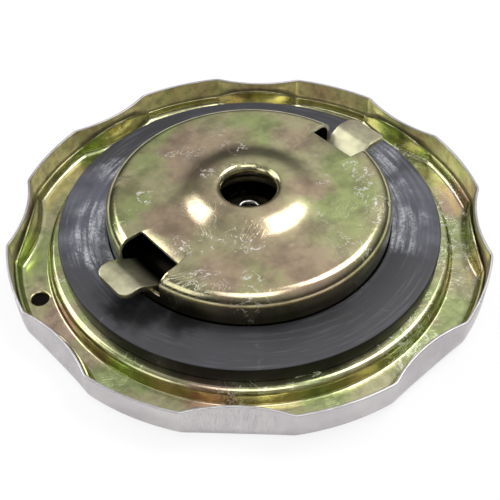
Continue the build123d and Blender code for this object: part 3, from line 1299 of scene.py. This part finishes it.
@dataclass(frozen=True)
class OuterCover:
    """The silver cover: a lobed skirt, a floor ring and a raised middle panel.

    The skirt's valleys keep faded_depth of their depth at the lower level of fade, and all of it
    at the upper one.
    """

    rim: Rim
    sheet: float = 0.6
    height: float = 9.0
    floor: float = 0.4
    fold: float = 3.0
    panel: float = 43.0
    draft: float = 0.07
    faded_depth: float = 0.4
    fade: Point = (1.6, 7.2)
    ring_inset: float = 5.0
    ring_radius: float = 47.0

    def skirt(self) -> list[Ring]:
        """Draws the skirt, whose valleys fade towards the floor.

        Returns:
            Its rings.
        """
        top = self.floor + self.sheet
        loop = rounded_loop(
            [(self.ring_inset, self.floor), (self.draft, self.floor), (0.0, self.height),
             (self.sheet, self.height), (self.sheet + self.draft, top), (self.ring_inset, top)],
            [0, self.fold, 0.2, 0.2, self.fold - self.sheet, 0], 10)
        return [Ring(x, z, lobed=True, depth=self.faded_depth + (1 - self.faded_depth) * ramp(
            z, *self.fade)) for x, z in with_levels(loop, [1.7 + 0.5 * n for n in range(12)])]

    def rings(self) -> list[Ring]:
        """Draws the section from the outer face's middle to the inner face's middle.

        Returns:
            Its rings.
        """
        top = self.floor + self.sheet
        outside = [(0.0, 0.0), (self.panel * 0.5, 0.0), (self.panel - 0.5, 0.0),
                   (self.panel, 0.02), (self.panel + 1.0, self.floor - 0.03),
                   (self.panel + 1.5, self.floor), (self.ring_radius, self.floor)]
        inside = [(self.ring_radius, top), (self.panel + 1.2, top), (self.panel + 0.7, top - 0.03),
                  (self.panel - 0.3, self.sheet + 0.02), (self.panel - 0.8, self.sheet),
                  (0.0, self.sheet)]
        return [Ring(*p) for p in outside] + self.skirt() + [Ring(*p) for p in inside]

    def build(self, tree: bpy.types.NodeTree, finishes: Finishes) -> None:
        """Builds and dresses the cover.

        Args:
            tree: the lobed rim tree.
            finishes: the cap's finishes.
        """
        def finish_of(face: bpy.types.MeshPolygon) -> int:
            """Chooses a face's finish.

            Args:
                face: a face of the cover.

            Returns:
                2 for the inner floor, painted near-black as shade, 1 for the lining and 0 for the
                outside.
            """
            if facing(face) >= -0.35 and face.normal.z <= 0.5:
                return 0
            if face.center.z < (self.floor + self.sheet + 0.1) * MM:
                return 2
            return int(face.center.z < (self.height - 0.25) * MM)

        piece = self.rim.shape("outer_cover_shell", self.rings(), False, tree, finishes.cover)
        coat(piece, (finishes.lining, finishes.unlit_inside), finish_of)
        place_piece(piece, "outer_cover", Body.SHELL)


@dataclass(frozen=True)
class InnerPlate:
    """The yellow plate: lobed flange, annulus with a vent hole, raised platform and port.

    The flange's edge gets flange_rise higher for each millimetre that it lies nearer the axis.
    """

    rim: Rim
    inset: float = 1.0
    base: float = 1.0
    sheet: float = 0.6
    fold: float = 2.1
    flange_top: float = 3.9
    flange_rise: float = 1.15
    ring_inset: float = 3.7
    join: float = 48.0
    foot: float = 46.7
    draft: float = 0.6
    seat: float = 5.2
    shoulder: float = 1.5
    port: float = 2.5
    vent: float = 1.9
    vent_edge: float = 0.4
    vent_circle: float = 49.85
    vent_angle: float = 160.0

    def rings(self) -> list[Ring]:
        """Draws the closed section.

        Returns:
            Its rings.
        """
        top = self.base + self.sheet
        flange = rounded_loop(
            [(self.ring_inset, self.base), (self.inset, self.base), (self.inset, self.flange_top),
             (self.inset + self.sheet, self.flange_top), (self.inset + self.sheet, top),
             (self.ring_inset, top)],
            [0, self.fold, 0.18, 0.18, self.fold - self.sheet, 0], 10)
        lobed = [Ring(x, z, True, ramp(z, self.base + self.fold, self.flange_top))
                 for x, z in flange]
        platform = sheet_loop(
            [(self.join, top), (self.foot, top), (self.foot - self.draft, self.seat),
             (self.port, self.seat)], [0.6, self.shoulder], self.sheet, 0.1, 8)
        kept = [Ring(x, z) for x, z in platform if x < self.join - 0.15]
        return lobed + [Ring(self.join, top)] + kept + [Ring(self.join, self.base)]

    def vent_cutter(self) -> bpy.types.Object:
        """Makes the flared solid that cuts the vent hole.

        Returns:
            The solid.
        """
        top = self.base + self.sheet
        wide = self.vent + self.vent_edge
        flare = [(wide - self.vent_edge * math.cos(a), top - self.vent_edge * (1 - math.sin(a)))
                 for a in (math.radians(10 * n) for n in range(10))]
        profile = [(0.0, -1.0), (self.vent, -1.0), *flare, (wide, top + 2.0), (0.0, top + 2.0)]
        cutter = ring_mesh("vent_cutter", [Ring(*point) for point in profile], even_columns(64),
                           closed=False)
        tidy_mesh(cutter)
        angle = math.radians(self.vent_angle)
        cutter.data.transform(Matrix.Translation(place_of(self.vent_circle * math.cos(angle),
                                                          self.vent_circle * math.sin(angle))))
        return cutter

    def build(self, tree: bpy.types.NodeTree, finishes: Finishes) -> None:
        """Builds and dresses the plate.

        Args:
            tree: the lobed rim tree.
            finishes: the cap's finishes.
        """
        piece = self.rim.shape("inner_plate_pressing", self.rings(), True, tree, finishes.plate,
                               self.flange_rise)
        cut(piece, self.vent_cutter())
        shade(piece, 35.0)
        place_piece(piece, "inner_plate", Body.SHELL)


@dataclass(frozen=True)
class Gasket:
    """The flat rubber ring round the cup."""

    inner: float = 32.35
    outer: float = 43.5
    seat: float = 5.2
    top: float = 8.9
    relief: float = 6.1
    relief_radius: float = 37.8
    chamfer: float = 0.75

    def build(self, finishes: Finishes) -> None:
        """Builds and dresses the gasket, whose upright faces take a darker copy of the rubber as
        painted shade.

        Args:
            finishes: the cap's finishes.
        """
        loop = rounded_loop(
            [(self.inner, self.top), (self.inner, self.relief + self.chamfer),
             (self.inner + self.chamfer, self.relief), (self.relief_radius, self.relief),
             (self.relief_radius, self.seat), (self.outer, self.seat), (self.outer, self.top),
             ((self.inner + self.outer) / 2, self.top)],
            [0.35, 0.1, 0.1, 0, 0.1, 0.35, 0.4, 0], 6)
        piece = turned_piece("gasket_ring", loop, finishes.rubber, 320)
        # Upright faces take the darker copy as painted shade.
        coat(piece, (finishes.rubber_shaded_side,), lambda face: int(face.normal.z < 0.6))
        place_piece(piece, "sealing_gasket", Body.SHELL)


@dataclass(frozen=True)
class Cup:
    """The yellow cup: welded flange, wall, shoulder, boss with a rolled-in hole, two notches.

    The notches run from notch_far at +Y to notch_near at -Y on their inner side, and to notch_wide
    at -Y on their outer side. Slack is how far past them a face still counts as cut.
    """

    radius: float = 32.2
    sheet: float = 0.8
    flange: float = 37.5
    seat: float = 5.2
    top: float = 16.6
    boss_foot: float = 15.8
    boss_knee: float = 10.2
    knee_level: float = 18.35
    lip_level: float = 18.60
    lip_radius: float = 6.0
    lip_end: float = 16.9
    bends: tuple[float, ...] = (0.8, 3.2, 14.0, 16.0, 1.8)
    notch_inner: float = 25.3
    notch_far: float = 5.9
    notch_near: float = 7.0
    notch_wide: float = 7.9
    notch_floor: float = 11.36
    slack: float = 0.3

    def section(self) -> list[Point]:
        """Draws the cup's section.

        Returns:
            The points round it.
        """
        path = [(self.flange, self.seat + self.sheet), (self.radius, self.seat + self.sheet),
                (self.radius, self.top), (self.boss_foot, self.top),
                (self.boss_knee, self.knee_level), (self.lip_radius, self.lip_level),
                (self.lip_radius, self.lip_end)]
        return sheet_loop(path, list(self.bends), self.sheet, 0.15, 9)

    def notch(self, way: int) -> bpy.types.Object:
        """Makes the solid that cuts a notch.

        Args:
            way: -1 for the notch on the -X side, 1 for the one on the +X side.

        Returns:
            The solid.
        """
        outer = self.radius + 2
        outline = [(way * self.notch_inner, -self.notch_near), (way * outer, -self.notch_wide),
                   (way * outer, self.notch_far), (way * self.notch_inner, self.notch_far)]
        return prism("notch_cutter", outline if way > 0 else outline[::-1], self.notch_floor,
                     self.lip_level + 4)

    def finish_of(self, face: bpy.types.MeshPolygon) -> int:
        """Chooses a face's finish.

        Args:
            face: a face of the cup.

        Returns:
            1 on the notches' cut faces, 2 inside the cup, painted near-black as shade, and 0
            elsewhere.
        """
        x, y, z = (value / MM for value in face.center)
        back = abs(face.normal.x) > 0.5 and abs(x) < self.notch_inner + self.slack / 3
        cheek = abs(face.normal.y) > 0.5 and abs(y) > self.notch_far - self.slack
        beside = -self.notch_wide - self.slack < y < self.notch_far + self.slack
        if abs(x) > self.notch_inner - self.slack / 6 and beside and (
                z > self.notch_floor - self.slack / 3) and (back or cheek):
            return 1
        inside = facing(face) < -0.5 and math.hypot(x, y) > self.boss_foot
        return 2 if inside or face.normal.z < -0.4 else 0

    def build(self, finishes: Finishes) -> None:
        """Builds and dresses the cup.

        Args:
            finishes: the cap's finishes.
        """
        piece = turned_piece("cup_pressing", self.section(), finishes.cup, 288)
        for way in (-1, 1):
            cut(piece, self.notch(way))
        soften(piece, 0.1)
        coat(piece, (finishes.edge, finishes.unlit_inside), self.finish_of)
        place_piece(piece, "cup", Body.SHELL)


@dataclass(frozen=True)
class Strap:
    """The sprung strap whose two turned-up ends lock under the filler neck's cams.

    Reach is the tip's distance on -X and long_reach on +X, where one corner is nearly square. Eye
    and ring are the middle's inner and outer radius.
    """

    sheet: float = 1.2
    half_width: float = 5.2
    reach: float = 38.3
    long_reach: float = 39.1
    corner: float = 2.3
    square: float = 0.8
    eye: float = 8.3
    ring: float = 13.0
    waist: float = 6.0
    middle: float = 13.4
    dip: Point = (26.5, 9.8)
    crest: Point = (34.2, 14.35)
    tip: float = 14.0
    bends: tuple[float, ...] = (16.0, 3.5, 4.0)

    def top_line(self) -> list[Point]:
        """Draws the top surface.

        Returns:
            Points from the middle to the longer tip.
        """
        corners = [(0.0, self.middle), (self.ring, self.middle), self.dip, self.crest,
                   (self.long_reach, self.tip), (self.long_reach, 0.0), (0.0, 0.0)]
        return rounded_loop(corners, [0, *self.bends, 0, 0, 0], 12)[:-2]

    def top_at(self, x: float) -> Point:
        """Reads the top surface.

        Args:
            x: the distance from the axis.

        Returns:
            The height and the slope there.
        """
        line = self.top_line()
        for (x0, z0), (x1, z1) in zip(line, line[1:]):
            if x1 > x0 and x0 <= x <= x1:
                slope = (z1 - z0) / (x1 - x0)
                return z0 + slope * (x - x0), slope
        return self.tip, 0.0

    def half_width_at(self, x: float, reach: float, corner: float) -> float:
        """Returns the blank's half width at a distance from the axis.

        Args:
            x: the distance.
            reach: the distance of the tip on this side.
            corner: the rounding of the tip's corner.

        Returns:
            The half width.
        """
        away = self.ring + self.waist
        centre_y = self.half_width + self.waist
        centre_x = math.sqrt(away ** 2 - centre_y ** 2)
        if x < centre_x * self.ring / away:
            return math.sqrt(self.ring ** 2 - x ** 2)
        if x < centre_x:
            return centre_y - math.sqrt(self.waist ** 2 - (x - centre_x) ** 2)
        past = x - (reach - corner)
        return self.half_width - corner + math.sqrt(max(corner ** 2 - max(past, 0.0) ** 2, 0.0))

    def columns(self, reach: float) -> list[float]:
        """Spaces the rows along an arm, bunched where the outline turns fast.

        Args:
            reach: the tip's distance from the axis.

        Returns:
            Distances from the axis to the tip.
        """
        bunched = [math.sin(math.radians(5 * n)) for n in range(19)]
        arm = [self.eye + (reach - self.corner - self.eye) * n / 70 for n in range(1, 71)]
        return ([self.eye * share for share in bunched] + arm
                + [reach - self.corner + self.corner * share for share in bunched[1:]])

    def row(self, x: float, side: int, depth: float, rows: int) -> list[Place]:
        """Returns a row of points from the eye or the middle line out to one edge.

        Args:
            x: the row's distance along the strap.
            side: -1 or 1, for the edge's side.
            depth: how far the row lies below the top surface, across the sheet.
            rows: spans in the row.

        Returns:
            The points, in metres.
        """
        height, slope = self.top_at(abs(x))
        inner = math.sqrt(max(self.eye ** 2 - x ** 2, 0.0))
        outer = self.half_width_at(abs(x), self.reach if x < 0 else self.long_reach,
                                   self.square if x > 0 > side else self.corner)
        level = height - depth * math.sqrt(1 + slope ** 2)
        return [place_of(x, side * (inner + (outer - inner) * n / rows), level)
                for n in range(rows + 1)]

    def build(self, finishes: Finishes, rows: int = 8) -> None:
        """Builds and dresses the strap.

        Args:
            finishes: the cap's finishes.
            rows: spans across each half of the strap.
        """
        left, right = self.columns(self.reach), self.columns(self.long_reach)
        places = [-x for x in reversed(left[1:])] + right
        vertices: list[Place] = []
        faces: list[tuple[int, ...]] = []
        wide = rows + 1
        for side in (-1, 1):
            grids = []
            for depth in (0.0, self.sheet):
                grids.append(len(vertices))
                for x in places:
                    vertices += self.row(x, side, depth, rows)
            for column in range(len(places) - 1):
                for start in grids:
                    first = start + column * wide
                    faces += [(first + row, first + row + 1, first + wide + row + 1,
                               first + wide + row) for row in range(rows)]
                in_eye = max(abs(places[column]), abs(places[column + 1])) <= self.eye + 1e-6
                for row in (rows, 0) if in_eye else (rows,):
                    upper, lower = (start + column * wide + row for start in grids)
                    faces.append((upper, upper + wide, lower + wide, lower))
            for column in (0, len(places) - 1):
                upper, lower = (start + column * wide for start in grids)
                faces += [(upper + row, upper + row + 1, lower + row + 1, lower + row)
                          for row in range(rows)]
        mesh = bpy.data.meshes.new("locking_strap_spring_leaf")
        mesh.from_pydata(vertices, [], faces)
        piece = link("locking_strap_blade", mesh)
        tidy_mesh(piece)
        piece.data.materials.append(finishes.strap)
        soften(piece, 0.14, 60.0)
        place_piece(piece, "locking_strap", Body.STRAP)


@dataclass(frozen=True)
class Coil:
    """A compression spring between two levels."""

    node: str
    joint: str
    travel: float
    radius: float
    wire: float
    low: float
    high: float
    turns: float
    closed_turns: float = 0.6
    points: int = 220

    def build(self, tree: bpy.types.NodeTree, finishes: Finishes) -> None:
        """Winds and dresses the spring.

        Args:
            tree: the coil tree.
            finishes: the cap's finishes.
        """
        piece = link(self.node + "_wire", bpy.data.meshes.new(self.node + "_wire"))
        run_tree(piece, tree, radius=self.radius * MM, wire=self.wire * MM, low=self.low * MM,
                 high=self.high * MM, turns=self.turns, closed_turns=self.closed_turns,
                 points=self.points, finish=finishes.wire)
        tidy_mesh(piece, 60.0)
        place_piece(piece, self.node, Body.SHELL)
        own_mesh(piece)


@dataclass(frozen=True)
class VentValve:
    """The vent valve: a drawn can with a rolled outlet over a sprung disc and its seal."""

    seat: float = 5.2
    sheet: float = 0.5
    base: float = 9.0
    radius: float = 6.4
    top: float = 10.4
    outlet: float = 2.55
    outlet_top: float = 11.72
    neck: float = 0.8
    bead: float = 0.17
    seal_radius: float = 4.6
    seal_thick: float = 1.2
    disc_radius: float = 4.9
    disc_thick: float = 0.5
    pip_radius: float = 1.6
    pip_height: float = 0.8
    edge: float = 0.2

    def can_section(self) -> list[Point]:
        """Draws the can's section.

        Returns:
            The points round it.
        """
        neck = self.outlet_top - self.neck
        inner = self.outlet - self.sheet
        return rounded_loop(
            [(self.base, self.seat + self.sheet), (self.radius, self.seat + self.sheet),
             (self.radius, self.top), (self.outlet, self.top), (self.outlet, neck),
             (self.outlet + self.bead, neck), (self.outlet + self.bead, self.outlet_top),
             (inner - self.bead, self.outlet_top), (inner - self.bead, neck), (inner, neck),
             (inner, self.top - self.sheet), (self.radius - self.sheet, self.top - self.sheet),
             (self.radius - self.sheet, self.seat), (self.base, self.seat)],
            [0.1, 0.5, 1.1, 0.4, 0, 0.08, 0.38, 0.38, 0.08, 0, 0.3, 0.6, 0, 0.1], 6)

    def build(self, finishes: Finishes) -> None:
        """Builds and dresses the can with its bright bead, the seal and the disc.

        Args:
            finishes: the cap's finishes.
        """
        can = turned_piece("valve_can", self.can_section(), finishes.shaded_can, 128)
        bead = (self.outlet_top - self.neck + self.edge) * MM
        # The can is painted dark as shade; only its bead takes the bright zinc.
        coat(can, (finishes.valve,), lambda face: int(face.center.z > bead))
        place_piece(can, "valve_cage", Body.SHELL)
        low = self.seat + self.seal_thick
        seal = turned_piece("valve_seal_disc", [
            (0.0, self.seat), (self.seal_radius - self.edge, self.seat),
            (self.seal_radius, self.seat + self.edge), (self.seal_radius, low - self.edge),
            (self.seal_radius - self.edge, low), (0.0, low)], finishes.seal, 96, closed=False)
        place_piece(seal, "valve_seal", Body.VALVE)
        top = low + self.disc_thick
        tip = top + self.pip_height
        disc = turned_piece("valve_disc_plate", [
            (0.0, low), (self.disc_radius, low), (self.disc_radius, top), (self.pip_radius, top),
            (self.pip_radius, tip - self.edge), (self.pip_radius - self.edge, tip), (0.0, tip)],
            finishes.valve, 96, closed=False)
        place_piece(disc, "valve_disc", Body.VALVE)


# ------------------------------------------------------------------ floor, light and camera


@dataclass(frozen=True)
class SoftBox:
    """A square soft light, placed by its way from the object in the camera's own compass.

    Bearing 0 is away from the camera and turns to the left; lengths are in metres.
    """

    bearing: float
    elevation: float
    size: float
    radiance: float
    distance: float = 0.9

    def build(self, name: str, view_bearing: float) -> None:
        """Hangs the light.

        Args:
            name: the light's name.
            view_bearing: the camera's own direction from +X, in radians.
        """
        turn = view_bearing + math.radians(self.bearing)
        rise = math.radians(self.elevation)
        way = Vector((math.cos(turn) * math.cos(rise), math.sin(turn) * math.cos(rise),
                      math.sin(rise)))
        lamp = bpy.data.lights.new(name, "AREA")
        lamp.shape = "SQUARE"
        lamp.size = self.size
        lamp.energy = self.radiance * math.pi * self.size ** 2
        holder = bpy.data.objects.new(name, lamp)
        holder.location = way * self.distance
        holder.rotation_euler = way.to_track_quat("Z", "Y").to_euler()
        bpy.context.scene.collection.objects.link(holder)


@dataclass(frozen=True)
class Studio:
    """The pale floor, the soft light and the camera.

    The floor reaches floor_reach metres each way. The room's grey goes from the first sky_grey to
    the second as it rises through sky_rise, and is brighter to one side and away from the camera.
    """

    camera: Place = (-93.75, -109.77, 146.87)
    right: Place = (0.7505, -0.6607, -0.0142)
    up: Place = (0.4824, 0.5330, 0.6951)
    lens: float = 62.6
    floor_reach: float = 4.0
    floor_white: float = 0.80
    floor_mirrored: float = 0.4
    sky_rise: Point = (0.10, 0.72)
    sky_grey: Point = (0.06, 0.48)
    sky_aside: Point = (0.95, 1.3)
    sky_away: float = 0.5
    sky_least: float = 0.35
    lights: tuple[SoftBox, ...] = (
        SoftBox(bearing=50, elevation=47, size=0.32, radiance=4.0),
        SoftBox(bearing=-60, elevation=60, size=0.40, radiance=6.5),
        SoftBox(bearing=180, elevation=72, size=0.40, radiance=3.4),
        SoftBox(bearing=78, elevation=34, size=0.45, radiance=2.4),
        SoftBox(bearing=128, elevation=34, size=0.40, radiance=1.6))

    def build_floor(self) -> None:
        """Lays the floor, which looks white to the camera and keeps the soft shadow."""
        canvas = Canvas("pale_floor")
        canvas.shader.inputs["Base Color"].default_value = rgb(236, 236, 236)
        canvas.shader.inputs["Roughness"].default_value = 0.8
        glow = canvas.add("ShaderNodeEmission", {"Color": rgb(255, 255, 255), "Strength": 1.05})
        seen = canvas.add("ShaderNodeLightPath", output="Is Camera Ray") * self.floor_white
        mirrored = canvas.add("ShaderNodeLightPath", output="Is Glossy Ray") * self.floor_mirrored
        mixed = canvas.add("ShaderNodeMixShader", {
            0: canvas.math("MAXIMUM", seen, mirrored), 1: Signal(canvas, canvas.shader.outputs[0]),
            2: glow})
        canvas.fill(canvas.tree.nodes["Material Output"].inputs["Surface"], mixed)
        far = self.floor_reach
        mesh = bpy.data.meshes.new("floor")
        mesh.from_pydata([(-far, -far, 0), (far, -far, 0), (far, far, 0), (-far, far, 0)], [],
                         [(0, 1, 2, 3)])
        floor = link("floor", mesh)
        floor.data.materials.append(canvas.material)

    def build_world(self, bearing: float) -> None:
        """Fills the room: white to the camera, soft grey that brightens upwards to the rest.

        Args:
            bearing: the camera's own direction from +X, in radians.
        """
        world = bpy.data.worlds.new("room")
        bpy.context.scene.world = world
        world.use_nodes = True
        graph = Graph(world.node_tree)
        x, y, rise = graph.split(graph.add("ShaderNodeTexCoord", output="Generated"))
        away = x * math.cos(bearing) + y * math.sin(bearing)
        aside = x * math.sin(bearing) - y * math.cos(bearing)
        gain, fall = self.sky_aside
        tilt = graph.math("MAXIMUM", aside * (gain - aside * fall) + 1.0, self.sky_least)
        grey = graph.span(graph.step(rise, *self.sky_rise), *self.sky_grey)
        sky = grey * tilt * (away * self.sky_away + 1.0)
        seen = graph.add("ShaderNodeLightPath", output="Is Camera Ray")
        background = world.node_tree.nodes["Background"]
        background.inputs["Color"].default_value = (1, 1, 1, 1)
        graph.fill(background.inputs["Strength"], graph.math("MAXIMUM", sky, seen))

    def build_camera(self) -> None:
        """Stands the camera at the viewing angle."""
        data = bpy.data.cameras.new("camera")
        data.lens = self.lens
        data.sensor_width = 36.0
        data.clip_start = 0.01
        holder = bpy.data.objects.new("camera", data)
        right = Vector(self.right).normalized()
        back = right.cross(Vector(self.up)).normalized()
        up = back.cross(right)
        turn = Matrix((right, up, back)).transposed().to_4x4()
        holder.matrix_world = Matrix.Translation(Vector(self.camera) * MM) @ turn
        bpy.context.scene.collection.objects.link(holder)
        bpy.context.scene.camera = holder

    def build(self) -> None:
        """Builds the whole studio."""
        bearing = math.atan2(-self.camera[1], -self.camera[0])
        self.build_floor()
        self.build_world(bearing)
        self.build_camera()
        for number, light in enumerate(self.lights):
            light.build(f"soft_box_{number}", bearing)
        bpy.context.scene.view_settings.view_transform = "Standard"


def main() -> None:
    """Builds the cap and its studio."""
    logging.basicConfig(level=logging.INFO, format="%(name)s: %(message)s")
    Studio().build()
    finishes = Finishes()
    rim = Rim()
    lobed = lobed_rim_tree()
    coil = coil_tree()
    OuterCover(rim).build(lobed, finishes)
    InnerPlate(rim).build(lobed, finishes)
    Gasket().build(finishes)
    Cup().build(finishes)
    Strap().build(finishes)
    Coil("strap_spring", "strap_slide", travel=1.0, radius=9.2, wire=0.8, low=13.44,
         high=17.52, turns=2.5).build(coil, finishes)
    Coil("valve_spring", "valve_slide", travel=1.2, radius=2.5, wire=0.45, low=6.94,
         high=9.86, turns=3.5).build(coil, finishes)
    VentValve().build(finishes)


if __name__ == "__main__":
    main()
